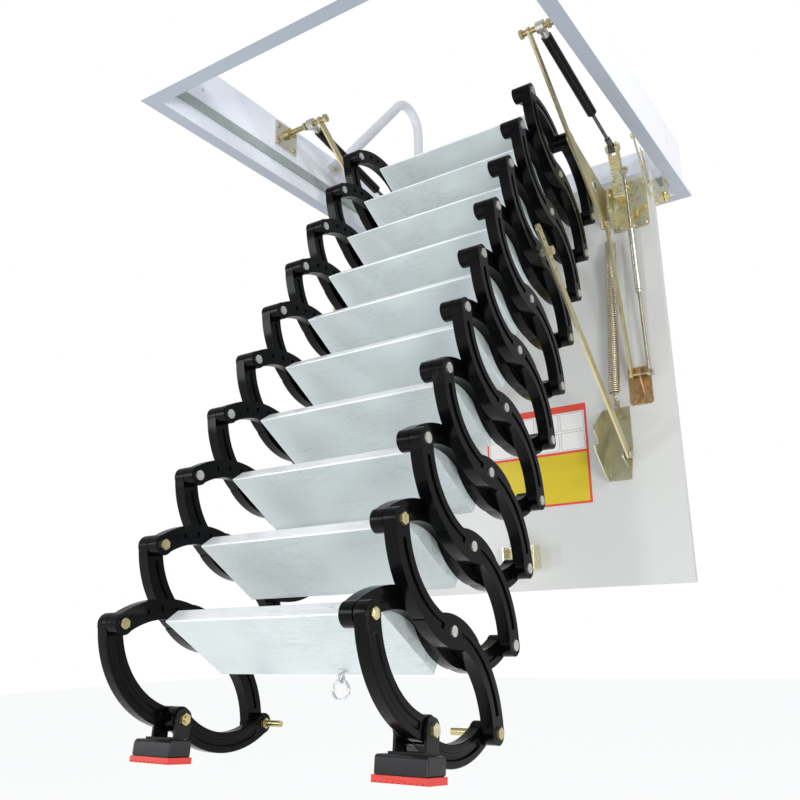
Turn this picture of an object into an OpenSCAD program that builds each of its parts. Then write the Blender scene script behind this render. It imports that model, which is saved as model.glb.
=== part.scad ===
// Attic ladder: a ceiling hatch frame, a hinged door panel and a concertina
// (lazy-tong) ladder with treads, drawn partly extended.
// Millimetres. Origin: centre of the hatch opening, in the plane of the
// underside of the ceiling flange. X across, Y from front to hinge side, Z up.

/* [Hatch frame] */
// Outside width of the ceiling flange
frame_w = 800; // [780:1:860]
// Outside length of the ceiling flange, front to rear
frame_d = 1020; // [1000:1:1100]
// Width of the ceiling flange around the opening
flange_w = 30; // [24:1:36]
// Thickness of the ceiling flange
flange_t = 12; // [8:1:16]
// Thickness of the upright frame walls
wall_t = 16; // [12:1:18]
// Height of the frame walls above the flange underside
wall_h = 148; // [140:1:200]
// Depth of the rubber gasket strip on the inside of the walls
gasket_h = 24; // [16:1:30]

/* [Door panel] */
// Width of the door panel
panel_w = 712; // [700:1:716]
// Height of the door panel when it hangs open
panel_h = 932; // [900:1:940]
// Thickness of the door panel
panel_t = 20; // [16:1:22]
// Distance of the panel's ladder side behind the hatch centre
panel_y = 316; // [314:1:318]

/* [Ladder] */
// Distance between neighbouring crossings along the ladder, as drawn
pitch = 130.8; // [124:0.2:138]
// Distance between front and rear pivots of a row, as drawn
row_w = 332.8; // [328:0.4:338]
// Slope of the ladder from horizontal, degrees
slope = 61.4; // [61:0.1:62]
// Half width of the ladder, to the outer face of the arms
half_w = 237.6; // [236:0.2:239]
// Thickness of one cast arm
arm_t = 19.5; // [18:0.5:20]
// Half width of an arm's curved limb
limb_hw = 15; // [13:0.5:16]
// Half width of an arm at its crossing
belly_hw = 22; // [20:0.5:23]
// Height of the bow in each half arm
bow = 31; // [28:1:34]
// Radius of the boss at each arm end
boss_r = 16; // [14:0.5:16.5]
// Radius of the pivot pins
pin_r = 5; // [4:0.1:5.5]

/* [Treads] */
// Depth of a tread, nose to rear edge
tread_d = 143; // [138:1:148]
// Thickness of a tread
tread_t = 29; // [26:1:30]
// Wall of the tread extrusion
tread_wall = 2.6; // [2:0.1:4]

/* [Fittings] */
// Thickness of the pressed steel plates
plate_t = 3; // [2.5:0.5:3.5]
// Thickness of the flat stay bars
bar_t = 5; // [4:0.5:6]
// Outside diameter of the lid springs
spring_d = 27; // [22:1:28]
// Outside diameter of the handrail tube
rail_d = 26; // [18:1:28]

/* [Hidden] */
rows = 10;
NODES = ["frame_box", "frame_gasket", "handrail", "hinge_hangers", "stay_wall_brackets",
    "door_panel", "hinge_plates", "ladder_carriers", "tie_rod_brackets", "strut_brackets",
    "counter_springs", "latch_housing", "lever_channels", "tie_rods",
    "stay_bars_upper", "stay_bars_lower", "gas_spring_cylinders", "gas_spring_rods", "ladder_struts",
    "inner_arms_00", "inner_arms_01", "inner_arms_02", "inner_arms_03", "inner_arms_04",
    "inner_arms_05", "inner_arms_06", "inner_arms_07", "inner_arms_08", "inner_arms_09", "inner_arms_10",
    "outer_arms_00", "outer_arms_01", "outer_arms_02", "outer_arms_03", "outer_arms_04",
    "outer_arms_05", "outer_arms_06", "outer_arms_07", "outer_arms_08", "outer_arms_09", "outer_arms_10",
    "tread_01", "tread_02", "tread_03", "tread_04", "tread_05",
    "tread_06", "tread_07", "tread_08", "tread_09", "tread_10",
    "foot_bracket_left", "foot_bracket_right", "foot_shoe_left", "foot_shoe_right",
    "foot_sole_left", "foot_sole_right", "eye_bolt", "eye_ring"];
$fn = 48;

// ladder directions in the Y-Z plane
u = [cos(slope), sin(slope)];
v = [sin(slope), -cos(slope)];
C10 = [122.4, 12.4];
function C(i) = C10 - u * pitch * (rows - i);
function F(i) = C(i) - u * pitch / 2 - v * row_w / 2;
function R(i) = C(i) - u * pitch / 2 + v * row_w / 2;
a = sqrt(pow(pitch / 2, 2) + pow(row_w / 2, 2));
phi = atan2(pitch, row_w);
arm_a = phi - (90 - slope);      // direction of the inner arms
arm_b = -phi - (90 - slope);     // direction of the outer arms
xo1 = half_w;
xo0 = half_w - arm_t;
xi1 = xo0 - 1;
xi0 = xi1 - arm_t;

arc_r = (a * a / 4 + bow * bow) / (2 * bow);
arc_a = asin(a / 2 / arc_r);
lens_l = 70;
lens_r = (lens_l * lens_l + belly_hw * belly_hw) / (2 * belly_hw);

// hinge of the door, pivots of the stays
H = [400, -40];
Q = [-120, 120];
J = [224, -162];
K = [302, -492];
G = [260, 44];
P = [296, -666];
panel_top = -6;

module both() { children(); mirror([1, 0, 0]) children(); }
// extrude a Y-Z outline along X, starting at x0
module along_x(x0, len) { translate([x0, 0, 0]) rotate([90, 0, 90]) linear_extrude(len) children(); }
module rod_x(p, x0, len, r) { translate([x0, p[0], p[1]]) rotate([0, 90, 0]) cylinder(h = len, r = r); }
module hex_x(p, x0, len, r) { translate([x0, p[0], p[1]]) rotate([0, 90, 0]) cylinder(h = len, r = r, $fn = 6); }
// straight rod between two Y-Z points in the plane x
module rod_yz(x, p, q, r) {
    d = q - p;
    translate([x, p[0], p[1]]) rotate([-atan2(d[0], d[1]), 0, 0]) cylinder(h = norm(d), r = r);
}
// flat bar outline with round ends and a hole at each end
module bar2(p, q, hw, hole, hole2) {
    d = q - p;
    n = [-d[1], d[0]] / norm(d) * (hw - 0.4);
    difference() {
        union() {
            polygon([p + n, q + n, q - n, p - n]);
            translate(p) circle(hw);
            translate(q) circle(hw);
        }
        translate(p) circle(hole);
        translate(q) circle(hole2);
    }
}

/* ---------- scissor arms ---------- */
// one bowed half limb from [-a,0] to [0,0]; side = 1 bows up, -1 bows down
module limb2(hw, trim = 0) {
    c = [-a / 2, bow - arc_r];
    intersection() {
        translate(c) difference() { circle(arc_r + hw, $fn = 96); circle(arc_r - hw, $fn = 96); }
        polygon([c,
            c + 2 * arc_r * [-sin(arc_a - trim), cos(arc_a - trim)],
            c + 2 * arc_r * [sin(arc_a - trim), cos(arc_a - trim)]]);
    }
}
module lens2() {
    rotate(-arc_a) intersection() {
        translate([0, lens_r - belly_hw]) circle(lens_r, $fn = 96);
        translate([0, belly_hw - lens_r]) circle(lens_r, $fn = 96);
        square([2 * lens_l, 3 * belly_hw], center = true);
    }
}
// front = limb towards F, rear = limb towards R; up = bow of the front limb
module arm2(front, rear, up) {
    mirror([0, up > 0 ? 0 : 1]) union() {
        if (front) { limb2(limb_hw); translate([-a, 0]) circle(boss_r); }
        if (rear) { rotate(180) limb2(limb_hw); translate([a, 0]) circle(boss_r); }
        if (front && rear) lens2(); else circle(boss_r + 2);
    }
}
module groove2(front, rear, up) {
    mirror([0, up > 0 ? 0 : 1]) {
        if (front) limb2(4.5, 9);
        if (rear) rotate(180) limb2(4.5, 9);
    }
}
module dimples2(up) {
    c = [-a / 2, bow - arc_r];
    mirror([0, up > 0 ? 0 : 1]) for (k = [-2:2])
        translate(c + arc_r * [sin(k * arc_a / 3.6), cos(k * arc_a / 3.6)]) circle(4.2, $fn = 24);
}
module arm_holes2(front, rear, rf, rc, rr) {
    circle(rc);
    if (front) translate([-a, 0]) circle(rf);
    if (rear) translate([a, 0]) circle(rr);
}
// local arm outline placed at crossing i
module at_c(i, ang) { translate(C(i)) rotate(ang) children(); }

module inner_arms(i) {
    front = i > 0;
    rear = i < rows;
    color("#15161a") both() difference() {
        along_x(xi0, arm_t) at_c(i, arm_a) difference() {
            arm2(front, rear, 1);
            arm_holes2(front, rear, pin_r + 0.06, pin_r + 0.06, pin_r + 0.25);
        }
        if (front) along_x(xi0 - 1, 3.5) at_c(i, arm_a) dimples2(1);
        along_x(xi0 - 1, 3.5) at_c(i, arm_a) groove2(false, rear, 1);
        along_x(xi1 - 2.5, 3.5) at_c(i, arm_a) groove2(front, rear, 1);
    }
}
module outer_arms(i) {
    front = i < rows;
    rear = i > 0;
    color("#15161a") both() difference() {
        along_x(xo0, arm_t) at_c(i, arm_b) difference() {
            arm2(front, rear, -1);
            arm_holes2(front, rear, pin_r + 0.02, i == 0 || i == rows ? pin_r + 0.06 : pin_r + 0.02, pin_r + 0.02);
        }
        along_x(xo1 - 2.5, 3.5) at_c(i, arm_b) groove2(front, rear, -1);
        along_x(xo0 - 1, 3.5) at_c(i, arm_b) groove2(front, rear, -1);
    }
    // pivot pins carried by this pair: crossing, front end and rear end
    color("#b9a86a") both() {
        if (i > 0 && i < rows) pin(C(i), xi0 + 0.5, 7.5, false, false);
        if (front) pin(F(i + 1), xi0, 8, true, i <= 1);
        if (rear) pin(R(i), i == 1 ? xi0 - 36 : xi0, 8, i > 1, i <= 1);
    }
}
// pin from x0 to the outer face, with an outer head and, if asked, an inner head
module pin(p, x0, hr, inner, hex) {
    rod_x(p, x0, xo1 - x0 + 1, pin_r);
    if (hex) hex_x(p, xo1 + 0.04, 4.2, hr + 0.5); else rod_x(p, xo1 + 0.04, 2.7, hr);
    if (inner) { if (hex) hex_x(p, xi0 - 4.1, 4, hr + 0.5); else rod_x(p, xi0 - 2.6, 2.5, hr); rod_x(p, xi0 - 1, 2, pin_r); }
    if (!inner && x0 < xi0) hex_x(p, xi0 - 5.1, 5, hr + 0.5);
}

/* ---------- treads ---------- */
tread_rot = -26.7;
tread_nose = [-107, 11];
module tread2() {
    polygon([[1.5, 0], [tread_d, 0], [tread_d, tread_t], [13.2, tread_t], [10.2, tread_t - 2.5], [0, 3], [0, 1.2]]);
    for (k = [0:8]) translate([21.5 + k * 13.7, tread_t - 0.2]) square([4, 1.4]);
}
// the three chambers of the extrusion
module tread_core2() {
    w = tread_wall;
    polygon([[w + 2, w], [45, w], [45, tread_t - w], [14, tread_t - w]]);
    translate([45 + w, w]) square([47, tread_t - 2 * w]);
    translate([45 + 47 + 2 * w, w]) square([tread_d - 45 - 47 - 3 * w, tread_t - 2 * w]);
}
module tread(i) {
    color("#e9eef2") difference() {
        along_x(-xi0 + 0.1, 2 * xi0 - 0.2) at_c(i, arm_a) translate(tread_nose) rotate(tread_rot) tread2();
        // hollow between the end caps, with a drain hole for each chamber in the caps
        along_x(-xi0 + 3.5, 2 * xi0 - 7) at_c(i, arm_a) translate(tread_nose) rotate(tread_rot) tread_core2();
        along_x(-xi0 - 1, 2 * xi0 + 2) at_c(i, arm_a) translate(tread_nose) rotate(tread_rot)
            for (x = [30, 70, 118]) translate([x, 6]) circle(1.5, $fn = 16);
    }
}

/* ---------- feet ---------- */
foot_tilt = -6;
foot_x = (xi0 + xo1) / 2;
module foot_bracket() {
    color("#1b1c20") {
        for (x = [xi0 - 5, xo1 + 1]) along_x(x, 4) translate(C(0)) difference() {
            union() { circle(15); rotate(foot_tilt) translate([-14, -27]) square([28, 27]); }
            circle(pin_r + 0.02);
        }
        along_x(xi0 - 5, xo1 - xi0 + 10) translate(C(0)) rotate(foot_tilt) translate([-24, -28]) square([28, 3]);
    }
    color("#b9a86a") {
        rod_x(C(0), xi0 - 5.05, xo1 - xi0 + 10.1, pin_r);
        hex_x(C(0), xo1 + 5.02, 5, 9);
        hex_x(C(0), xi0 - 10.02, 5, 9);
        rod_x(C(0), xi0 - 13, 3.5, pin_r);
    }
}
module foot_shoe() {
    color("#26272b") along_x(foot_x - 39, 78) translate(C(0)) rotate(foot_tilt)
        polygon([[-33, -51], [8, -51], [8, -32], [5, -28.1], [-30, -28.1], [-33, -32]]);
}
module foot_sole() {
    color("#e0392b") difference() {
        along_x(foot_x - 41, 82) translate(C(0)) rotate(foot_tilt)
            polygon([[-35, -60], [10, -60], [10, -51.1], [-35, -51.1]]);
        for (k = [-4:4]) along_x(foot_x + k * 8.6 - 1.5, 3) translate(C(0)) rotate(foot_tilt)
            translate([-37, -62]) square([52, 4.5]);
    }
}

/* ---------- eye bolt ---------- */
// tread rear lower edge in the Y-Z plane
function loc(i, q, ang) = C(i) + [q[0] * cos(ang) - q[1] * sin(ang), q[0] * sin(ang) + q[1] * cos(ang)];
function tread_pt(i, q) = loc(i, tread_nose + [q[0] * cos(tread_rot) - q[1] * sin(tread_rot), q[0] * sin(tread_rot) + q[1] * cos(tread_rot)], arm_a);
E = tread_pt(1, [tread_d - 10, 0]);
eye_x = 52;
module eye_bolt() {
    color("#b8bcc2") {
        translate([eye_x, E[0], E[1]]) rotate([0, 180, 0]) rotate([-180 + 180 + (arm_a + tread_rot) * -1, 0, 0]) {
            translate([0, 0, 0.2]) cylinder(h = 2, r = 6);
            translate([0, 0, 0.05]) cylinder(h = 6.5, r = 2.4);
            translate([0, 0, 12]) rotate([90, 0, 90]) rotate_extrude() translate([6, 0]) circle(2.2, $fn = 20);
        }
    }
}
eye_c = [E[0] + 12 * sin(arm_a + tread_rot), E[1] - 12 * cos(arm_a + tread_rot)];
ring_r = 14;
module eye_ring() {
    color("#b8bcc2") translate([eye_x, eye_c[0], eye_c[1] - ring_r - 1.4]) rotate([90, 0, 0])
        rotate_extrude() translate([ring_r, 0]) circle(2, $fn = 20);
}

/* ---------- frame ---------- */
ow = frame_w / 2; od = frame_d / 2;
iw = ow - flange_w; id = od - flange_w;
module ring3(w1, d1, w0, d0, z, h) {
    translate([0, 0, z]) linear_extrude(h) difference() {
        square([2 * w1, 2 * d1], center = true);
        square([2 * w0, 2 * d0], center = true);
    }
}
module frame_box() {
    color("#e8e9f2") difference() {
        union() {
            ring3(ow, od, iw, id, 0, flange_t);
            ring3(iw + wall_t, id + wall_t, iw, id, flange_t - 1, wall_h - flange_t + 1);
        }
        // fixing holes through the side walls
        for (x = [-1, 1], y = [-380, 380], z = [90, 130]) translate([x * (iw + wall_t / 2), y, z]) rotate([0, 90, 0])
            cylinder(h = wall_t + 2, r = 3.5, center = true);
        // pocket for the latch in the front wall
        translate([-30, -id - 9, 20]) cube([60, 10, 22]);
    }
}
module frame_gasket() {
    color("#aeb6ae") difference() {
        ring3(iw - 0.1, id - 0.1, iw - 4, id - 4, 34, gasket_h);
        // cut away at the hinge hangers
        for (s = [-1, 1]) translate([s * iw - 8, 388, 30]) cube([16, 82, gasket_h + 8]);
    }
}
rail_x = -352;
rail_p = [60, 122];
rail_t = 50;
rail_v = 440;
rail_b = 58;
rail_s = (rail_v - rail_b - rail_p[0] - rail_b * sin(rail_t)) / cos(rail_t);
rail_c = rail_p + rail_s * [cos(rail_t), sin(rail_t)] + rail_b * [sin(rail_t), -cos(rail_t)];
module handrail() {
    color("#f2f4f7") {
        rod_yz(rail_x, rail_p, rail_p + rail_s * [cos(rail_t), sin(rail_t)], rail_d / 2);
        // the bend, from the slope over the top to vertical
        translate([rail_x, rail_c[0], rail_c[1]]) rotate([90, 0, 90])
            rotate([0, 0, 0]) rotate_extrude(angle = 90 + rail_t, $fn = 64) translate([rail_b, 0]) circle(rail_d / 2, $fn = 32);
        translate([rail_x, rail_v, wall_h + 0.2]) cylinder(h = rail_c[1] - wall_h - 0.2, r = rail_d / 2);
        // foot plate on the wall top and flattened end on the wall
        translate([-iw - wall_t + 1, rail_v - 20, wall_h + 0.1]) cube([44, 40, 4]);
        difference() {
            along_x(-iw + 0.1, 8) translate(rail_p) rotate(rail_t) translate([-24, -14]) square([40, 28]);
            rod_x(rail_p, -iw - 1, 12, 4);
        }
        rod_x(rail_p, -iw + 4, 8, 11);
    }
    color("#b9a86a") rod_x(rail_p - [14, 16], -iw + 8.2, 4, 6);
}
module hinge_hangers() {
    color("#cfc08a") both() {
        difference() {
            along_x(iw - 6.1, 5) union() {
                polygon([[392, 20], [466, 20], [466, 110], [430, 130], [392, 110]]);
                polygon([[388, 24], [416, 24], [H[0] + 10, H[1]], [H[0] - 10, H[1]]]);
                translate(H) circle(12);
            }
            rod_x(H, iw - 8, 10, 6.05);
            for (q = [[410, 92], [450, 92], [430, 112]]) rod_x(q, iw - 8, 10, 3);
        }
        for (q = [[410, 92], [450, 92], [430, 112]]) rod_x(q, iw - 9, 2.7, 6);
        // guide strap from the wall down beside the panel edge
        difference() {
            along_x(357.4, 3) union() {
                polygon([[194, 26], [206, 18], [292, -84], [280, -92]]);
                polygon([[244, 16], [256, 6], [296, -52], [286, -60], [262, -28]]);
                translate([200, 21]) circle(7);
                translate([286, -88]) circle(7);
            }
            rod_x([200, 21], 355, 8, 3);
        }
        rod_x([200, 21], 360.5, 9.4, 6);
        rod_x([200, 21], 354.6, 2.7, 6);
        rod_x([286, -88], 360.5, 3, 5);
        rod_x([291, -55], 360.5, 3, 5);
    }
}
module stay_wall_brackets() {
    color("#c9c6b4") both() {
        difference() {
            along_x(iw - 4.1, 4) translate(Q) translate([-38, -42]) square([72, 62]);
            for (q = [[-28, -32], [24, -32], [-28, 10], [24, 10]]) rod_x(Q + q, iw - 6, 8, 3);
        }
        for (q = [[-28, -32], [24, -32], [-28, 10], [24, 10]]) rod_x(Q + q, iw - 6.2, 2, 5.5);
    }
    color("#c9b46a") both() {
        rod_x(Q, 252, iw - 4.2 - 252, 5.9);
        rod_x(Q, iw - 14, 9.5, 12);
        hex_x(Q, 247, 6, 10);
        hex_x(Q, 306.5, 6, 10);
    }
}

/* ---------- door panel and what is fixed to it ---------- */
pz0 = panel_top - panel_h;
yf = panel_y;            // ladder side of the panel
module door_panel() {
    color("#eceeee") difference() {
        union() {
            translate([-panel_w / 2, yf, pz0]) cube([panel_w, panel_t, panel_h]);
        }
        // shadow groove all round the edge
        translate([0, yf + panel_t / 2, pz0 + panel_h / 2]) for (s = [-1, 1]) {
            translate([s * panel_w / 2, 0, 0]) cube([2.4, 3, panel_h + 2], center = true);
            translate([0, 0, s * panel_h / 2]) cube([panel_w + 2, 3, 2.4], center = true);
        }
        // latch hole
        translate([-18, yf - 1, -867]) rotate([-90, 0, 0]) cylinder(h = panel_t + 2, r = 6);
    }
}
module rivet_y(x, y, z, r, h) { translate([x, y, z]) rotate([90, 0, 0]) cylinder(h = h, r = r); }
hp = [[272, -32], [298, -31], [336, -31], [336, -92], [334, -132], [304, -134], [274, -131], [271, -76]];
module hinge_plates() {
    color("#d9c27a") both() {
        difference() {
            translate([260, yf - plate_t - 0.1, -143]) cube([84, plate_t, 121]);
            translate([344, yf - 10, -22]) rotate([0, 45, 0]) cube([7, 20, 7], center = true);
            translate([344, yf - 10, -143]) rotate([0, 45, 0]) cube([7, 20, 7], center = true);
        }
        // forward flange on the ladder side
        along_x(260, plate_t) polygon([[yf - 1, -130], [yf - 1, -26], [yf - 28, -40], [yf - 36, -96], [yf - 14, -130]]);
        for (q = [[yf - 20, -52], [yf - 22, -92]]) rod_x(q, 256.5, 9.5, 4);
        for (q = hp) rivet_y(q[0], yf - plate_t - 0.3, q[1], 5, 3);
        // pressed lug and the bolts of the tie rod
        translate([296, yf - plate_t - 8.6, -112]) cube([22, 8.6, 26]);
        // lug behind the panel edge that carries the hinge pin
        along_x(iw - 13.9, 6) difference() {
            union() {
                polygon([[yf + 12, -88], [yf + 12, -28], [H[0] - 6, H[1] + 11], [H[0] + 6, H[1] - 11], [yf + panel_t + 6, -88]]);
                translate(H) circle(12);
            }
            translate(H) circle(6.02);
        }
        rod_x(H, iw - 17, 18.5, 6);
    }
}
module ladder_carriers() {
    c = C(rows);
    color("#cdbb7a") both() {
        difference() {
            along_x(xo1 + 3.2, 5) union() {
                translate(c) circle(17);
                polygon([c + [-8, 15], [yf - 6, -26], [yf - 6, -110], [yf - 26, -116], c + [-4, -17.5], c + [-17, 0]]);
            }
            rod_x(c, xo1, 12, pin_r + 0.02);
            along_x(xo1, 12) translate([(c[0] + yf) / 2 + 26, (c[1] - 66) / 2 - 18]) circle(15);
        }
        // foot of the carrier on the panel
        translate([xo1 + 3.2, yf - 6.1, -110]) cube([10.5, 6, 84]);
        rod_x(c, xi0 - 1, xo1 + 8 - xi0 + 1, pin_r);
        rod_x(c, xo1 + 8.3, 3, 8);
        rod_x(c, xi0 - 4, 3.4, 8);
    }
}
module tie_rod_brackets() {
    color("#c98f55") both() {
        difference() {
            translate([260, yf - plate_t - 0.1, -557]) cube([51, plate_t, 84]);
            for (x = [260, 311], z = [-557, -473]) translate([x, yf - 3, z]) rotate([0, 45, 0]) cube([6, 20, 6], center = true);
        }
        for (q = [[268, -482], [303, -482], [302, -547], [268, -547]]) rivet_y(q[0], yf - plate_t - 0.3, q[1], 4.5, 3);
        // upright ear that takes the tie rod and the stay bar
        difference() {
            along_x(292, plate_t) polygon([[yf - 1, -540], [yf - 1, -484], [yf - 24, -478], [yf - 24, -506]]);
            rod_x(K, 290, 8, 3.6);
        }
    }
}
module strut_brackets() {
    color("#cdbb7a") both() {
        difference() {
            translate([196, yf - plate_t - 0.1, -717]) cube([60, plate_t, 160]);
            translate([256, yf - 3, -655]) rotate([0, 8, 0]) translate([5, 0, -50]) cube([12, 20, 140], center = true);
        }
        // forward flange on the ladder side, with its notch
        along_x(196, plate_t) polygon([[yf - 1, -716], [yf - 1, -558], [yf - 16, -562], [yf - 72, -604], [yf - 76, -616],
            [yf - 50, -641], [yf - 80, -648], [yf - 72, -664], [yf - 20, -712]]);
        // lug of the strut pivot
        difference() {
            along_x(240.5, plate_t) polygon([[yf - 1, -692], [yf - 1, -640], [yf - 14, -652], [yf - 31, -656],
                [yf - 33, -670], [yf - 26, -678]]);
            rod_x(P, 238, 8, 5.02);
        }
        for (q = [[204, -575], [234, -578], [232, -650], [204, -705], [228, -705]])
            rivet_y(q[0], yf - plate_t - 0.3, q[1], 5, 3);
        rod_x(P, 236, 18.5, 5);
        rod_x(P, 236, 4.3, 8);
        hex_x(P, 253, 6, 9);
        // hook tab for the counter spring
        difference() {
            translate([spring_x0 - 1.5, yf - 40, -556]) cube([plate_t, 40 - plate_t, 14]);
            rod_x([yf - 28, -549], spring_x0 - 5, 10, 3.5);
        }
    }
}
spring_x0 = 234;
spring_x1 = 256;
module counter_springs() {
    color("#b79b4a") both() {
        y = yf - 28;
        // leans outwards from the strut bracket to the hinge plate
        translate([spring_x0, y, -532]) rotate([0, atan2(spring_x1 - spring_x0, 362), 0]) {
            difference() {
                cylinder(h = 362, r = spring_d / 2);
                translate([0, 0, -1]) cylinder(h = 364, r = spring_d / 2 - 4);
            }
            for (z = [-2, 360]) translate([0, 0, z]) cylinder(h = 4, r = spring_d / 2 - 3);
            translate([0, 0, -9]) cylinder(h = 10, r = 2.2);
            translate([0, 0, 362]) cylinder(h = 28, r = 2.2);
        }
    }
}
module latch_housing() {
    color("#d6bd78") {
        difference() {
            translate([-57, yf - 34, -892]) cube([78, 33.9, 50]);
            translate([-54, yf - 40, -889]) cube([30, 37, 56]);
            translate([-12, yf - 40, -889]) cube([30, 37, 44]);
        }
        rivet_y(14, yf - 34.2, -850, 4, 3);
        rivet_y(-50, yf - 3.1, -866, 4, 3);
    }
}
L2 = [292, -58];
module lever_channels() {
    color("#d6bd6e") both() {
        difference() {
            along_x(281, 22) difference() {
                union() { translate(G) circle(13); polygon([G + [-11, -7], G + [11, 8], L2 + [10, 8], L2 + [-10, -6]]); translate(L2) circle(12); }
                translate(G) circle(5.02);
            }
            translate([284, 0, -20]) along_x(0, 16) translate([G[0] - 22, G[1] - 2]) square([60, 40]);
            along_x(284, 16) translate(G) circle(24);
        }
        rod_x(G, 277, 7, 4.98);
        rod_x(G, 300, 7, 4.98);
        rod_x(G, 276, 4.9, 9);
        rod_x(G, 303.1, 4.5, 9);
        rod_x(L2, 276, 4.9, 8);
        // foot of the lever on the hinge plate
        translate([283, L2[0] + 4, L2[1] - 10]) cube([18, yf - 4 - L2[0] - 4, 20]);
    }
}
tr0 = [264, -18]; tr1 = K;
module tie_rods() {
    x0 = 311; x1 = 311;
    color("#c4b48a") both() {
        rod_yz(x0, tr0, tr1, 3.6);
        translate([x0, tr0[0], tr0[1]]) rotate([0, 90, 0]) cylinder(h = 8, r = 8, center = true);
        rod_x(tr0, 303.3, 5, 4);
        hex_x(tr0, x0 + 3.5, 5, 6.5);
        hex_x(K, x0 + 3.5, 5, 6.5);
        translate([x1, tr1[0], tr1[1]]) rotate([0, 90, 0]) cylinder(h = 8, r = 8, center = true);
        rod_x(K, 292.1, 16, 3.5);
    }
    // turnbuckle body and its lock nuts
    color("#a8a9a6") both() {
        d = (tr1 - tr0) / norm(tr1 - tr0);
        rod_yz(x0, tr0 + d * 152, tr0 + d * 286, 7.5);
        rod_yz(x0, tr0 + d * 144, tr0 + d * 150, 7);
        rod_yz(x0, tr0 + d * 288, tr0 + d * 294, 7);
    }
}

/* ---------- stays, gas springs and struts ---------- */
module stay_bars_upper() {
    color("#c9b878") both() {
        along_x(264, bar_t) bar2(Q, J, 9, 6.0, 3);
        rod_x(J, 260, 3.9, 8);
    }
}
module stay_bars_lower() {
    color("#c9b878") both() {
        along_x(270.5, bar_t) bar2(J, K, 8, 3, 3.6);
        rod_x(J, 275.6, 4, 8);
        rod_x(K, 268, 23.5, 3.5);
        rod_x(K, 268, 2.4, 7);
    }
}
gas_l = norm(G - Q);
gas_d = (G - Q) / gas_l;
gas_x = 292;
module gas_spring_cylinders() {
    color("#17181b") both() {
        difference() {
            rod_yz(gas_x, Q + gas_d * 26, Q + gas_d * 262, 11);
            rod_yz(gas_x, Q + gas_d * 40, Q + gas_d * 264, 8.6);
        }
        // guide bush and end cap
        difference() {
            rod_yz(gas_x, Q + gas_d * 246, Q + gas_d * 261.9, 8.7);
            rod_yz(gas_x, Q + gas_d * 245, Q + gas_d * 264, 4.06);
        }
    }
    color("#c8cacd") both() difference() {
        union() {
            rod_yz(gas_x, Q + gas_d * 2, Q + gas_d * 27, 8);
            rod_x(Q, gas_x - 8, 16, 12);
        }
        rod_x(Q, gas_x - 10, 20, 5.96);
    }
}
module gas_spring_rods() {
    color("#33343a") both() {
        rod_yz(gas_x, Q + gas_d * 200, Q + gas_d * (gas_l - 8), 4);
        rod_yz(gas_x, Q + gas_d * 200, Q + gas_d * 206, 8.5);
        difference() {
            union() { rod_yz(gas_x, Q + gas_d * (gas_l - 34), Q + gas_d * (gas_l - 3), 7); rod_x(G, gas_x - 6, 12, 11); }
            rod_x(G, gas_x - 8, 16, 5);
        }
    }
}
C7 = C(7);
strut_d = (C7 - P) / norm(C7 - P);
strut_l = norm(C7 - P) + 48;
module ladder_struts() {
    color("#cdb264") both() {
        difference() {
            along_x(247.5, bar_t) bar2(P, P + strut_d * strut_l, 10, 5.06, 3);
            for (k = [1:4]) rod_x(P + strut_d * (strut_l - 22 * k), 245, 12, 3);
        }
        rod_x(C7, 252.6, 9, 7);
        hex_x(C7, 256, 6, 9.5);
        rod_x(C7, 243.4, 4, 7);
    }
}

module one(n) {
    if (n == "frame_box") frame_box();
    if (n == "frame_gasket") frame_gasket();
    if (n == "handrail") handrail();
    if (n == "hinge_hangers") hinge_hangers();
    if (n == "stay_wall_brackets") stay_wall_brackets();
    if (n == "door_panel") door_panel();
    if (n == "hinge_plates") hinge_plates();
    if (n == "ladder_carriers") ladder_carriers();
    if (n == "tie_rod_brackets") tie_rod_brackets();
    if (n == "strut_brackets") strut_brackets();
    if (n == "counter_springs") counter_springs();
    if (n == "latch_housing") latch_housing();
    if (n == "lever_channels") lever_channels();
    if (n == "tie_rods") tie_rods();
    if (n == "stay_bars_upper") stay_bars_upper();
    if (n == "stay_bars_lower") stay_bars_lower();
    if (n == "gas_spring_cylinders") gas_spring_cylinders();
    if (n == "gas_spring_rods") gas_spring_rods();
    if (n == "ladder_struts") ladder_struts();
    for (i = [0:rows]) {
        if (n == NODES[19 + i]) inner_arms(i);
        if (n == NODES[30 + i]) outer_arms(i);
        if (i > 0 && n == NODES[40 + i]) tread(i);
    }
    if (n == "foot_bracket_left") mirror([1, 0, 0]) foot_bracket();
    if (n == "foot_bracket_right") foot_bracket();
    if (n == "foot_shoe_left") mirror([1, 0, 0]) foot_shoe();
    if (n == "foot_shoe_right") foot_shoe();
    if (n == "foot_sole_left") mirror([1, 0, 0]) foot_sole();
    if (n == "foot_sole_right") foot_sole();
    if (n == "eye_bolt") eye_bolt();
    if (n == "eye_ring") eye_ring();
}
for (n = NODES) one(n);
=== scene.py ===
# Looks of the attic ladder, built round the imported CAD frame. Metres, same frame as the CAD.
import math
import bpy
import numpy as np
from mathutils import Matrix, Vector


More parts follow.
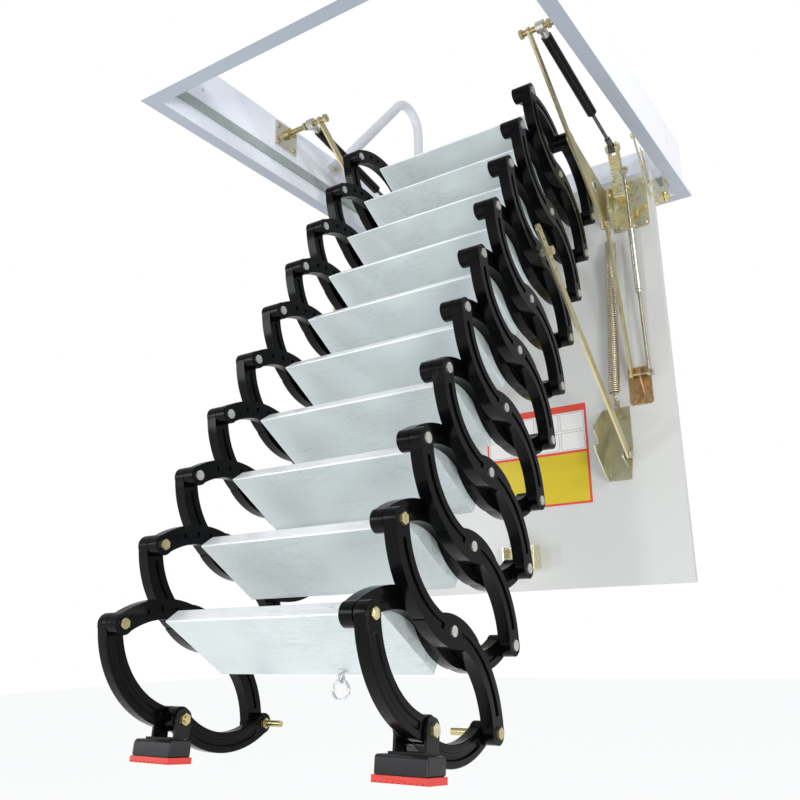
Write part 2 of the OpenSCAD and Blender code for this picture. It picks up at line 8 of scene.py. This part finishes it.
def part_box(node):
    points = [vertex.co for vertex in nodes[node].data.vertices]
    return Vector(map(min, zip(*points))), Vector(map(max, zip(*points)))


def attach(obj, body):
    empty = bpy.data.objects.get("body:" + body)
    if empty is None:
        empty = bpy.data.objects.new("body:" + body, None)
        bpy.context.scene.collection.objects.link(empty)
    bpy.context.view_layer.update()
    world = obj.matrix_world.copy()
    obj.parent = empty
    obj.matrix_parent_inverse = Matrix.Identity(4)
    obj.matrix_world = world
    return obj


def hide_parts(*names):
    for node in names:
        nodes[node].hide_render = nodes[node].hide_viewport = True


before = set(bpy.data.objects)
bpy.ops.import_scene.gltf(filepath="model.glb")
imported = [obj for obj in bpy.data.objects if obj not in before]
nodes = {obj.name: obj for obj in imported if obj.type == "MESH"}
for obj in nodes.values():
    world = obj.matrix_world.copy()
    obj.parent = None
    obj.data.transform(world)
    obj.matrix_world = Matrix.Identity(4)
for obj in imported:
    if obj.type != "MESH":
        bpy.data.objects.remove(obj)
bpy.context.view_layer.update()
scene = bpy.context.scene
coll = scene.collection


# ------------------------------------------------------------------ camera
def look(yaw, pitch, roll):
    y, p, r = (math.radians(a) for a in (yaw, pitch, roll))
    fwd = Vector((-math.sin(y) * math.cos(p), math.cos(y) * math.cos(p), math.sin(p)))
    right = Vector((math.cos(y), math.sin(y), 0))
    down = fwd.cross(right)
    r1 = right * math.cos(r) + down * math.sin(r)
    d1 = down * math.cos(r) - right * math.sin(r)
    return Matrix((r1, -d1, -fwd)).transposed()


cam_data = bpy.data.cameras.new("camera")
cam_data.sensor_width = 36.0
cam_data.lens = 842.0 / 800.0 * 36.0
cam_data.shift_x = -27.0 / 800.0
cam_data.shift_y = -12.0 / 800.0
cam_data.clip_start = 0.02
cam_data.clip_end = 60.0
cam = bpy.data.objects.new("camera", cam_data)
coll.objects.link(cam)
cam.matrix_world = Matrix.Translation((0.827, -1.434, -1.022)) @ look(32.0, 16.2, 1.49).to_4x4()
scene.camera = cam


# ------------------------------------------------------------------ materials
class Mat:
    """A small helper round one node material."""

    def __init__(self, name):
        self.m = bpy.data.materials.new(name)
        self.m.use_nodes = True
        self.t = self.m.node_tree
        self.n = self.t.nodes
        self.b = self.n["Principled BSDF"]
        self.co = self.n.new("ShaderNodeTexCoord")

    def set(self, **kw):
        names = {"color": "Base Color", "rough": "Roughness", "metal": "Metallic", "coat": "Coat Weight",
                 "coat_rough": "Coat Roughness", "ior": "IOR", "spec": "Specular IOR Level", "sheen": "Sheen Weight",
                 "aniso": "Anisotropic"}
        for k, v in kw.items():
            s = self.b.inputs[names[k]]
            if isinstance(v, bpy.types.NodeSocket):
                self.t.links.new(v, s)
            else:
                s.default_value = v if not isinstance(v, tuple) else (v + (1.0,))[:4]
        return self

    def mapped(self, scale=(1, 1, 1), rot=(0, 0, 0)):
        mp = self.n.new("ShaderNodeMapping")
        mp.inputs["Scale"].default_value = scale
        mp.inputs["Rotation"].default_value = rot
        self.t.links.new(self.co.outputs["Object"], mp.inputs["Vector"])
        return mp.outputs["Vector"]

    def noise(self, scale, detail=4.0, rough=0.55, vec=None, dist=0.0):
        nz = self.n.new("ShaderNodeTexNoise")
        nz.inputs["Scale"].default_value = scale
        nz.inputs["Detail"].default_value = detail
        nz.inputs["Roughness"].default_value = rough
        nz.inputs["Distortion"].default_value = dist
        self.t.links.new(vec if vec is not None else self.co.outputs["Object"], nz.inputs["Vector"])
        return nz.outputs["Fac"]

    def ramp(self, fac, stops, interp="LINEAR"):
        r = self.n.new("ShaderNodeValToRGB")
        r.color_ramp.interpolation = interp
        els = r.color_ramp.elements
        while len(els) < len(stops):
            els.new(0.5)
        for e, (p, c) in zip(els, stops):
            e.position = p
            e.color = (c + (1.0,))[:4] if isinstance(c, tuple) else (c, c, c, 1.0)
        self.t.links.new(fac, r.inputs["Fac"])
        return r.outputs["Color"]

    def mix(self, fac, a, b, mode="MIX"):
        mx = self.n.new("ShaderNodeMix")
        mx.data_type = "RGBA"
        mx.blend_type = mode
        for s, v in ((mx.inputs[0], fac), (mx.inputs[6], a), (mx.inputs[7], b)):
            if isinstance(v, bpy.types.NodeSocket):
                self.t.links.new(v, s)
            elif isinstance(v, tuple):
                s.default_value = (v + (1.0,))[:4]
            else:
                s.default_value = v
        return mx.outputs[2]

    def math(self, op, a, b=0.0, c=0.0, clamp=False):
        md = self.n.new("ShaderNodeMath")
        md.operation = op
        md.use_clamp = clamp
        for s, v in zip(md.inputs, (a, b, c)):
            if isinstance(v, bpy.types.NodeSocket):
                self.t.links.new(v, s)
            else:
                s.default_value = v
        return md.outputs[0]

    def bump(self, height, strength, dist=0.001, prev=None):
        bp = self.n.new("ShaderNodeBump")
        bp.inputs["Strength"].default_value = strength
        bp.inputs["Distance"].default_value = dist
        self.t.links.new(height, bp.inputs["Height"])
        if prev is not None:
            self.t.links.new(prev, bp.inputs["Normal"])
        self.t.links.new(bp.outputs["Normal"], self.b.inputs["Normal"])
        return bp.outputs["Normal"]

    def wear(self, lo=0.50, hi=0.56):
        """1 along convex edges."""
        g = self.n.new("ShaderNodeNewGeometry")
        mr = self.n.new("ShaderNodeMapRange")
        mr.inputs["From Min"].default_value = lo
        mr.inputs["From Max"].default_value = hi
        self.t.links.new(g.outputs["Pointiness"], mr.inputs["Value"])
        return mr.outputs["Result"]


def painted(name, color, rough, coat=0.0, peel=0.04, dirt=0.03, tint=None, spec=0.5):
    m = Mat(name)
    big = m.noise(3.0, 3.0, 0.5)
    dark = tuple(c * (1 - dirt) for c in color)
    col = m.mix(m.ramp(big, [(0.35, 0.0), (0.7, 1.0)]), dark, tint or color)
    fine = m.noise(420.0, 2.0, 0.5)
    rg = m.math("MULTIPLY_ADD", m.noise(9.0, 5.0, 0.6), 0.16, rough - 0.08)
    m.set(color=col, rough=rg, coat=coat, coat_rough=0.12, spec=spec)
    m.bump(fine, peel, 0.0006)
    return m.m


def arm_black():
    m = Mat("arm_gloss_black")
    big = m.noise(26.0, 3.0, 0.5)
    fine = m.noise(260.0, 2.0, 0.5)
    specks = m.ramp(m.noise(520.0, 2.0, 0.6), [(0.70, 0.0), (0.78, 1.0)])
    col = m.mix(specks, (0.0016, 0.0016, 0.0020), (0.010, 0.010, 0.011))
    rg = m.math("MULTIPLY_ADD", big, 0.13, 0.11)
    m.set(color=col, rough=rg, coat=0.0, coat_rough=0.10, spec=0.12)
    n1 = m.bump(big, 0.22, 0.0016)
    m.bump(fine, 0.10, 0.0005, prev=n1)
    return m.m


def tread_white(name, lo, hi):
    m = Mat(name)
    # long fine grain that runs along the tread (X), stronger in patches
    v1 = m.mapped((2.2, 60.0, 60.0))
    wave = m.noise(5.5, 6.0, 0.62, v1, 1.6)
    lines = m.ramp(wave, [(0.482, 0.0), (0.50, 1.0), (0.518, 0.0)])
    patch = m.ramp(m.noise(7.0, 3.0, 0.55), [(0.42, 0.0), (0.60, 1.0)])
    v2 = m.mapped((9.0, 150.0, 150.0))
    hair = m.ramp(m.noise(4.0, 3.0, 0.6, v2), [(0.58, 0.0), (0.72, 1.0)])
    mask = m.math("MULTIPLY", lines, patch)
    mask2 = m.math("ADD", m.math("MULTIPLY", mask, 0.85), m.math("MULTIPLY", hair, 0.09))
    base = m.mix(m.noise(2.0, 3.0), lo, hi)
    col = m.mix(mask2, base, (0.23, 0.26, 0.27))
    rg = m.math("MULTIPLY_ADD", hair, 0.12, 0.30)
    m.set(color=col, rough=rg, coat=0.2, coat_rough=0.2)
    n1 = m.bump(m.math("SUBTRACT", 1.0, mask), 0.25, 0.0006)
    m.bump(m.noise(500.0, 2.0), 0.03, 0.0004, prev=n1)
    return m.m


def zinc(name, cols, rough=0.26, streak=1.0):
    m = Mat(name)
    n1 = m.noise(13.0, 4.0, 0.6, dist=1.2)
    n2 = m.noise(60.0, 4.0, 0.6)
    k = m.math("ADD", m.math("MULTIPLY", n1, 0.75), m.math("MULTIPLY", n2, 0.25))
    col = m.ramp(k, cols)
    sc = m.ramp(m.noise(90.0, 3.0, 0.6, m.mapped((1, 14.0, 1.0))), [(0.40, 0.0), (0.62, 1.0)])
    rg = m.math("MULTIPLY_ADD", sc, 0.16 * streak, rough)
    w = m.wear(0.52, 0.60)
    col = m.mix(m.math("MULTIPLY", w, 0.5), col, (0.86, 0.82, 0.70))
    m.set(color=col, rough=rg, metal=0.93)
    m.bump(m.math("ADD", sc, n2), 0.06, 0.0004)
    return m.m


def rubber(name, color, rough=0.7, grain=0.25):
    m = Mat(name)
    n = m.noise(700.0, 3.0, 0.6)
    col = m.mix(m.noise(18.0, 4.0), tuple(c * 0.82 for c in color), color)
    m.set(color=col, rough=rough)
    m.bump(n, grain, 0.0006)
    return m.m


def door_white():
    m = Mat("door_white_laminate")
    big = m.noise(1.6, 3.0, 0.5)
    col = m.mix(big, (0.535, 0.545, 0.535), (0.58, 0.588, 0.578))
    smear = m.ramp(m.noise(3.0, 5.0, 0.6, m.mapped((1.0, 1.0, 0.25))), [(0.45, 0.0), (0.85, 1.0)])
    col = m.mix(m.math("MULTIPLY", smear, 0.10), col, (0.55, 0.55, 0.53))
    rg = m.math("MULTIPLY_ADD", smear, 0.14, 0.34)
    m.set(color=col, rough=rg)
    m.bump(m.noise(240.0, 2.0), 0.035, 0.0006)
    return m.m


YEL = [(0.30, (0.52, 0.41, 0.17)), (0.42, (0.74, 0.61, 0.30)), (0.50, (0.72, 0.68, 0.42)), (0.57, (0.64, 0.68, 0.55)),
       (0.64, (0.72, 0.56, 0.42)), (0.74, (0.76, 0.66, 0.34))]
BAR = [(0.30, (0.40, 0.34, 0.18)), (0.45, (0.58, 0.50, 0.27)), (0.58, (0.56, 0.52, 0.34)), (0.72, (0.68, 0.62, 0.40))]
TIE = [(0.3, (0.26, 0.23, 0.16)), (0.5, (0.40, 0.37, 0.27)), (0.7, (0.54, 0.50, 0.38))]
OLIVE = [(0.30, (0.34, 0.27, 0.12)), (0.44, (0.46, 0.40, 0.24)), (0.54, (0.44, 0.45, 0.33)), (0.66, (0.54, 0.44, 0.30)), (0.76, (0.56, 0.50, 0.30))]
PALE = [(0.3, (0.48, 0.46, 0.40)), (0.5, (0.62, 0.60, 0.53)), (0.7, (0.72, 0.68, 0.55))]
COPPER = [(0.3, (0.38, 0.21, 0.085)), (0.5, (0.52, 0.32, 0.14)), (0.7, (0.66, 0.47, 0.25))]
M = {
    "arm": arm_black(),
    "tread": tread_white("tread_white_grain", (0.555, 0.62, 0.63), (0.61, 0.665, 0.67)),
    # nose: a paler copy of the tread material for the front edge, painted light
    "nose": tread_white("tread_nose_white", (0.83, 0.86, 0.88), (0.87, 0.89, 0.905)),
    "frame": painted("frame_wall_white", (0.80, 0.84, 0.92), 0.42, 0.1, 0.05, 0.03),
    # flange: a darker copy of the frame wall paint, painted shade on the downward face
    "flange": painted("frame_flange_painted_shade", (0.335, 0.37, 0.43), 0.42, 0.1, 0.05, 0.03),
    "rail": painted("rail_white", (0.60, 0.61, 0.665), 0.30, 0.3, 0.03, 0.02),
    "outer": painted("frame_outer_white", (0.80, 0.81, 0.84), 0.6, 0.0, 0.02, 0.01),
    "door": door_white(),
    "label_red": painted("label_red", (0.66, 0.06, 0.035), 0.4),
    "label_white": painted("label_white", (0.74, 0.73, 0.72), 0.4),
    "label_yellow": painted("label_yellow", (0.60, 0.46, 0.012), 0.4),
    "label_grey": painted("label_grey", (0.36, 0.35, 0.34), 0.4),
    "gasket": rubber("gasket_greygreen", (0.34, 0.39, 0.39), 0.75, 0.2),
    "zinc": zinc("zinc_yellow_plate", YEL, 0.24),
    "bolt": zinc("zinc_yellow_bolt", [(0.3, (0.34, 0.27, 0.11)), (0.5, (0.50, 0.42, 0.20)), (0.7, (0.58, 0.52, 0.30))], 0.20),
    "bar": zinc("zinc_yellow_bar", BAR, 0.28),
    "pale": zinc("zinc_pale_plate", PALE, 0.26),
    "copper": zinc("zinc_copper_plate", COPPER, 0.26),
    "olive": zinc("zinc_olive_plate", OLIVE, 0.30),
    "tie": zinc("zinc_dark_rod", TIE, 0.24),
    "rivet": zinc("rivet_silver", [(0.3, (0.52, 0.50, 0.47)), (0.7, (0.70, 0.68, 0.64))], 0.25),
    "gas": painted("tube_satin_black", (0.006, 0.006, 0.007), 0.30, 0.0, 0.05, 0.1, spec=0.2),
    "rod": zinc("rod_dark", [(0.3, (0.12, 0.12, 0.13)), (0.7, (0.20, 0.20, 0.21))], 0.18),
    "shoe": painted("shoe_black_plastic", (0.014, 0.014, 0.016), 0.34, 0.0, 0.25, 0.2, spec=0.3),
    "sole": rubber("sole_red_rubber", (0.62, 0.045, 0.03), 0.6, 0.3),
    "chrome": zinc("eye_bright_steel", [(0.3, (0.55, 0.56, 0.58)), (0.7, (0.74, 0.75, 0.77))], 0.14),
    "spring": zinc("spring_yellow_steel", [(0.3, (0.22, 0.155, 0.06)), (0.55, (0.38, 0.27, 0.11)), (0.75, (0.52, 0.41, 0.19))], 0.26),
}


# ------------------------------------------------------------------ shading of the CAD pieces
def smooth_group():
    g = bpy.data.node_groups.new("smooth_by_angle", "GeometryNodeTree")
    g.interface.new_socket("Geometry", in_out="INPUT", socket_type="NodeSocketGeometry")
    g.interface.new_socket("Geometry", in_out="OUTPUT", socket_type="NodeSocketGeometry")
    i, o = g.nodes.new("NodeGroupInput"), g.nodes.new("NodeGroupOutput")
    s1, s2 = g.nodes.new("GeometryNodeSetShadeSmooth"), g.nodes.new("GeometryNodeSetShadeSmooth")
    s1.domain, s2.domain = "FACE", "EDGE"
    ea = g.nodes.new("GeometryNodeInputMeshEdgeAngle")
    cmp = g.nodes.new("FunctionNodeCompare")
    cmp.data_type, cmp.operation = "FLOAT", "GREATER_THAN"
    cmp.inputs[1].default_value = math.radians(32)
    g.links.new(i.outputs[0], s1.inputs["Geometry"])
    g.links.new(s1.outputs[0], s2.inputs["Geometry"])
    g.links.new(ea.outputs[0], cmp.inputs[0])
    g.links.new(cmp.outputs[0], s2.inputs["Selection"])
    s1.inputs["Shade Smooth"].default_value = True
    s2.inputs["Shade Smooth"].default_value = False
    g.links.new(s2.outputs[0], o.inputs[0])
    return g


SMOOTH = smooth_group()


def soften(o, width=0.0, seg=2, angle=35.0):
    at = o.data.attributes.get("custom_normal")
    if at is not None:
        o.data.attributes.remove(at)
    w = o.modifiers.new("weld", "WELD")
    w.merge_threshold = 2e-6
    if width > 0:
        b = o.modifiers.new("edge", "BEVEL")
        b.width = width
        b.segments = seg
        b.limit_method = "ANGLE"
        b.angle_limit = math.radians(angle)
        b.use_clamp_overlap = True
        b.miter_outer = "MITER_ARC"
    s = o.modifiers.new("smooth", "NODES")
    s.node_group = SMOOTH
    wn = o.modifiers.new("flat", "WEIGHTED_NORMAL")
    wn.keep_sharp = True
    wn.weight = 60


def put(o, *mats):
    o.data.materials.clear()
    for m in mats:
        o.data.materials.append(m)


def paint_by(o, test, index):
    """Gives the faces whose centre passes test another material slot."""
    me = o.data
    n = len(me.polygons)
    c = np.empty(n * 3, np.float32)
    me.polygons.foreach_get("center", c)
    c = c.reshape(-1, 3)
    idx = np.empty(n, np.int32)
    me.polygons.foreach_get("material_index", idx)
    idx[test(c)] = index
    me.polygons.foreach_set("material_index", idx)


# ladder geometry, repeated from the CAD source (metres)
SL = math.radians(61.4)
U = np.array([math.cos(SL), math.sin(SL)])
V = np.array([math.sin(SL), -math.cos(SL)])
PITCH, ROW = 0.1308, 0.3328


def Cx(i):
    return np.array([0.1224, 0.0124]) - U * PITCH * (10 - i)


def Fx(i):
    return Cx(i) - U * PITCH / 2 - V * ROW / 2


def Rx(i):
    return Cx(i) - U * PITCH / 2 + V * ROW / 2


for i in range(11):
    a, b = nodes["inner_arms_%02d" % i], nodes["outer_arms_%02d" % i]
    put(a, M["arm"])
    put(b, M["arm"], M["rivet"], M["bolt"])
    pins = []
    if 0 < i < 10:
        pins.append((Cx(i), 0.0076, 1))
    if i < 10:
        pins.append((Fx(i + 1), 0.0088, 2 if i <= 1 else 1))
    if i > 0:
        pins.append((Rx(i), 0.0088, 2 if i <= 1 else 1))
    for p, r, k in pins:
        def is_head(c, p=p, r=r):
            d = np.hypot(c[:, 1] - p[0], c[:, 2] - p[1])
            ax = np.abs(c[:, 0])
            return (d < r) & ((ax > 0.23761) | (ax < 0.19752))
        paint_by(b, is_head, k)
    soften(a, 0.0032, 3)
    soften(b, 0.0032, 3)
    if i > 0:
        t = nodes["tread_%02d" % i]
        put(t, M["tread"], M["nose"])
        # the front edge gets a paler copy of the tread material than the underside: painted light where the light
        # falls on it
        me = t.data
        nn = np.empty(len(me.polygons) * 3, np.float32)
        me.polygons.foreach_get("normal", nn)
        nn = nn.reshape(-1, 3)
        ar = np.empty(len(me.polygons), np.float32)
        me.polygons.foreach_get("area", ar)
        low = nn[np.argmax(ar * (nn[:, 2] < -0.2))]
        front = (np.abs(nn[:, 0]) < 0.1) & (nn[:, 1] < -0.25) & (nn @ low < 0.85)
        me.polygons.foreach_set("material_index", front.astype(np.int32))
        soften(t, 0.0016, 3)

for n, m, w in (
    ("frame_box", "frame", 0.0), ("frame_gasket", "gasket", 0.0015), ("handrail", "rail", 0.0008),
    ("hinge_hangers", "zinc", 0.0008), ("stay_wall_brackets", "pale", 0.0008), ("door_panel", "door", 0.0),
    ("hinge_plates", "zinc", 0.0007), ("ladder_carriers", "bar", 0.0008), ("tie_rod_brackets", "copper", 0.0007),
    ("strut_brackets", "olive", 0.0007), ("latch_housing", "zinc", 0.0008), ("lever_channels", "zinc", 0.0010),
    ("tie_rods", "tie", 0.0008), ("stay_bars_upper", "bar", 0.0007), ("stay_bars_lower", "bar", 0.0007),
    ("gas_spring_cylinders", "gas", 0.0008), ("gas_spring_rods", "rod", 0.0006), ("ladder_struts", "bar", 0.0007),
    ("foot_bracket_left", "gas", 0.0008), ("foot_bracket_right", "gas", 0.0008), ("foot_shoe_left", "shoe", 0.0030),
    ("foot_shoe_right", "shoe", 0.0030), ("foot_sole_left", "sole", 0.0012), ("foot_sole_right", "sole", 0.0012),
    ("eye_bolt", "chrome", 0.0), ("eye_ring", "chrome", 0.0),
):
    put(nodes[n], M[m])
    soften(nodes[n], w, 2)

# the outside of the frame walls, which stands in the ceiling, is plain white
o = nodes["frame_box"]
o.data.materials.append(M["outer"])
paint_by(o, lambda c: (c[:, 2] > 0.0125) & ((np.abs(c[:, 0]) > 0.3855) | (np.abs(c[:, 1]) > 0.4955)), 1)
# the underside of the flange gets the darker copy of the wall paint: painted shade
o.data.materials.append(M["flange"])
paint_by(o, lambda c: c[:, 2] < 0.0035, 2)

# bolts and end fittings that share a node with another finish
for s in ("left", "right"):
    o = nodes["foot_bracket_" + s]
    o.data.materials.append(M["bolt"])
    c0 = Cx(0)
    paint_by(o, lambda c: (np.hypot(c[:, 1] - c0[0], c[:, 2] - c0[1]) < 0.0095)
             & ((np.abs(c[:, 0]) > 0.24261) | (np.abs(c[:, 0]) < 0.19258)), 1)
o = nodes["gas_spring_cylinders"]
o.data.materials.append(M["rivet"])
q = np.array([-0.120, 0.120])
paint_by(o, lambda c: np.hypot(c[:, 1] - q[0], c[:, 2] - q[1]) < 0.0255, 1)
o = nodes["stay_wall_brackets"]
o.data.materials.append(M["bolt"])
paint_by(o, lambda c: np.abs(c[:, 0]) < 0.3650, 1)
o = nodes["tie_rods"]
o.data.materials.append(M["rivet"])
paint_by(o, lambda c: (c[:, 2] < -0.160) & (c[:, 2] > -0.313), 1)
o = nodes["handrail"]
o.data.materials.append(M["zinc"])
paint_by(o, lambda c: (np.abs(c[:, 0] + 0.360) < 0.0024) & (c[:, 2] < 0.113), 1)


# ------------------------------------------------------------------ pieces made here
def add(name, verts, faces, mat, body, smooth=True):
    me = bpy.data.meshes.new(name)
    me.from_pydata([tuple(v) for v in verts], [], faces)
    me.update()
    if smooth:
        me.polygons.foreach_set("use_smooth", [True] * len(me.polygons))
    o = bpy.data.objects.new(name, me)
    coll.objects.link(o)
    me.materials.append(mat)
    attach(o, body)
    return o


def tube(points, r, sides=8):
    """A closed round tube along points, with frames carried along the path."""
    P = np.array(points, float)
    T = np.gradient(P, axis=0)
    T /= np.linalg.norm(T, axis=1)[:, None]
    n = np.cross(T[0], [0.3, 0.9, 0.2])
    n /= np.linalg.norm(n)
    V_, F_ = [], []
    for k in range(len(P)):
        n = n - T[k] * n.dot(T[k])
        n /= np.linalg.norm(n)
        b = np.cross(T[k], n)
        for j in range(sides):
            a_ = 2 * math.pi * j / sides
            V_.append(P[k] + r * (math.cos(a_) * n + math.sin(a_) * b))
    for k in range(len(P) - 1):
        for j in range(sides):
            j2 = (j + 1) % sides
            F_.append((k * sides + j, k * sides + j2, (k + 1) * sides + j2, (k + 1) * sides + j))
    F_.append(tuple(range(sides))[::-1])
    F_.append(tuple((len(P) - 1) * sides + j for j in range(sides)))
    return V_, F_


# counter springs: real coils with end hooks, leaning outwards from the strut bracket to the hinge plate
def spring(sign, name):
    lo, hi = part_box("counter_springs")
    y = (lo.y + hi.y) / 2
    a0 = np.array([sign * 0.2340, y, -0.5315])
    a1 = np.array([sign * 0.2559, y, -0.1705])
    ax = (a1 - a0) / np.linalg.norm(a1 - a0)
    e1 = np.array([ax[2], 0.0, -ax[0]])
    e2 = np.array([0.0, 1.0, 0.0])
    wire = 0.0018
    R = 0.0130 - wire
    turns = 84
    pts = []
    hook = []
    for k in range(15):
        b = math.pi / 2 + math.pi * 1.62 * (1 - k / 14)
        hook.append(a0 - ax * 0.0118 + 0.0052 * (math.cos(b) * e1 + math.sin(b) * ax))
    pts += hook
    n = turns * 14
    for k in range(n + 1):
        t_ = k / n
        b = 2 * math.pi * turns * t_ + math.pi
        e = min(1.0, min(t_, 1 - t_) * turns / 0.9)
        rr = R * (0.12 + 0.88 * e)
        pts.append(a0 + (a1 - a0) * t_ + rr * (math.cos(b) * e1 + math.sin(b) * e2))
    pts.append(a1 + ax * 0.008)
    for k in range(15):
        b = -math.pi / 2 - math.pi * 1.62 * k / 14
        pts.append(a1 + ax * 0.0190 + 0.0050 * (math.cos(b) * e2 + math.sin(b) * ax))
    v_, f_ = tube(pts, wire, 7)
    o = add(name, v_, f_, M["spring"], "door")
    return o


s1 = spring(1, "counter_spring_right")
s2 = spring(-1, "counter_spring_left")
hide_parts("counter_springs")

# a blank notice plate on the door: red border, white field with empty boxes, yellow field
def slab(name, x0, x1, z0, z1, y0, y1, mat):
    v = [(x, y, z) for x in (x0, x1) for y in (y0, y1) for z in (z0, z1)]
    f = [(0, 1, 3, 2), (4, 6, 7, 5), (0, 4, 5, 1), (2, 3, 7, 6), (0, 2, 6, 4), (1, 5, 7, 3)]
    return add(name, v, f, mat, "door", smooth=False)


LX0, LX1, LZ0, LZ1 = -0.100, 0.154, -0.757, -0.531
YP = 0.3160
slab("notice_border", LX0, LX1, LZ0, LZ1, YP - 0.0007, YP - 0.0001, M["label_red"])
zm = LZ0 + (LZ1 - LZ0) * 0.52
slab("notice_white", LX0 + 0.005, LX1 - 0.005, zm + 0.003, LZ1 - 0.016, YP - 0.0010, YP - 0.0006, M["label_white"])
slab("notice_yellow", LX0 + 0.005, LX1 - 0.005, LZ0 + 0.005, zm - 0.003, YP - 0.0010, YP - 0.0006, M["label_yellow"])
bw = (LX1 - LX0 - 0.010) / 4
bh = (LZ1 - 0.016 - zm - 0.003) / 2
bv, bf = [], []
for r_ in range(2):
    for c_ in range(4):
        x0 = LX0 + 0.005 + c_ * bw + 0.0022
        x1 = x0 + bw - 0.0044
        z0 = zm + 0.003 + r_ * bh + 0.0022
        z1 = z0 + bh - 0.0044
        # one raised outline: outer and inner ring, on two levels
        t = 0.0011
        k = len(bv)
        for y_ in (YP - 0.0009, YP - 0.0012):
            for d_ in (0.0, t):
                bv += [(x0 + d_, y_, z0 + d_), (x1 - d_, y_, z0 + d_), (x1 - d_, y_, z1 - d_), (x0 + d_, y_, z1 - d_)]
        for j in range(4):
            j2 = (j + 1) % 4
            bf += [(k + j, k + j2, k + 4 + j2, k + 4 + j), (k + 8 + j2, k + 8 + j, k + 12 + j, k + 12 + j2),
                   (k + j2, k + j, k + 8 + j, k + 8 + j2), (k + 4 + j, k + 4 + j2, k + 12 + j2, k + 12 + j)]
add("notice_boxes", bv, bf, M["label_grey"], "door", smooth=False)

# ------------------------------------------------------------------ stage: floor, light, world
fz = -2.80
me = bpy.data.meshes.new("floor")
me.from_pydata([(-30, -30, fz), (30, -30, fz), (30, 30, fz), (-30, 30, fz)], [], [(0, 1, 2, 3)])
floor = bpy.data.objects.new("floor", me)
coll.objects.link(floor)
fm = Mat("floor_pale")
fm.set(color=(0.97, 0.97, 0.97), rough=0.8, spec=0.0)
fm.b.inputs["Emission Color"].default_value = (1.0, 1.0, 1.0, 1.0)
fm.b.inputs["Emission Strength"].default_value = 0.42
me.materials.append(fm.m)

world = bpy.data.worlds.new("studio")
scene.world = world
world.use_nodes = True
wt = world.node_tree
bg = wt.nodes["Background"]
bg.inputs["Color"].default_value = (1.0, 1.0, 1.0, 1.0)
bg.inputs["Strength"].default_value = 1.0
soft = wt.nodes.new("ShaderNodeBackground")
soft.inputs["Color"].default_value = (0.97, 0.985, 1.0, 1.0)
soft.inputs["Strength"].default_value = 0.56
lp = wt.nodes.new("ShaderNodeLightPath")
mixw = wt.nodes.new("ShaderNodeMixShader")
wt.links.new(lp.outputs["Is Camera Ray"], mixw.inputs[0])
wt.links.new(soft.outputs[0], mixw.inputs[1])
wt.links.new(bg.outputs[0], mixw.inputs[2])
wt.links.new(mixw.outputs[0], wt.nodes["World Output"].inputs["Surface"])


def area(name, loc, target, size, power, color=(1, 1, 1)):
    d = bpy.data.lights.new(name, "AREA")
    d.shape = "DISK"
    d.size = size
    d.energy = power
    d.color = color
    o = bpy.data.objects.new(name, d)
    coll.objects.link(o)
    o.location = loc
    o.rotation_mode = "QUATERNION"
    o.rotation_quaternion = (Vector(target) - Vector(loc)).to_track_quat("-Z", "Y")
    return o


area("key", (2.4, -2.2, -0.75), (0.0, -0.1, -0.5), 0.7, 30.0, (1.0, 0.98, 0.95))
area("fill", (-1.8, -2.6, -0.3), (0.0, 0.0, -0.4), 1.2, 20.0, (0.96, 0.98, 1.0))
area("top", (0.4, -0.6, 2.4), (0.0, 0.0, 0.0), 1.4, 20.0)
area("glint_a", (1.9, -1.2, 0.5), (0.0, -0.2, -0.5), 0.13, 10.0)
area("glint_b", (0.2, -2.6, -1.3), (0.0, -0.2, -0.5), 0.13, 10.0)
area("glint_c", (2.2, 0.9, -0.9), (0.2, 0.0, -0.5), 0.13, 9.0)
area("glint_d", (-1.9, -1.0, -1.0), (0.0, -0.2, -0.6), 0.13, 9.0)

scene.view_settings.view_transform = "Standard"
scene.view_settings.look = "None"
scene.view_settings.exposure = 0.0
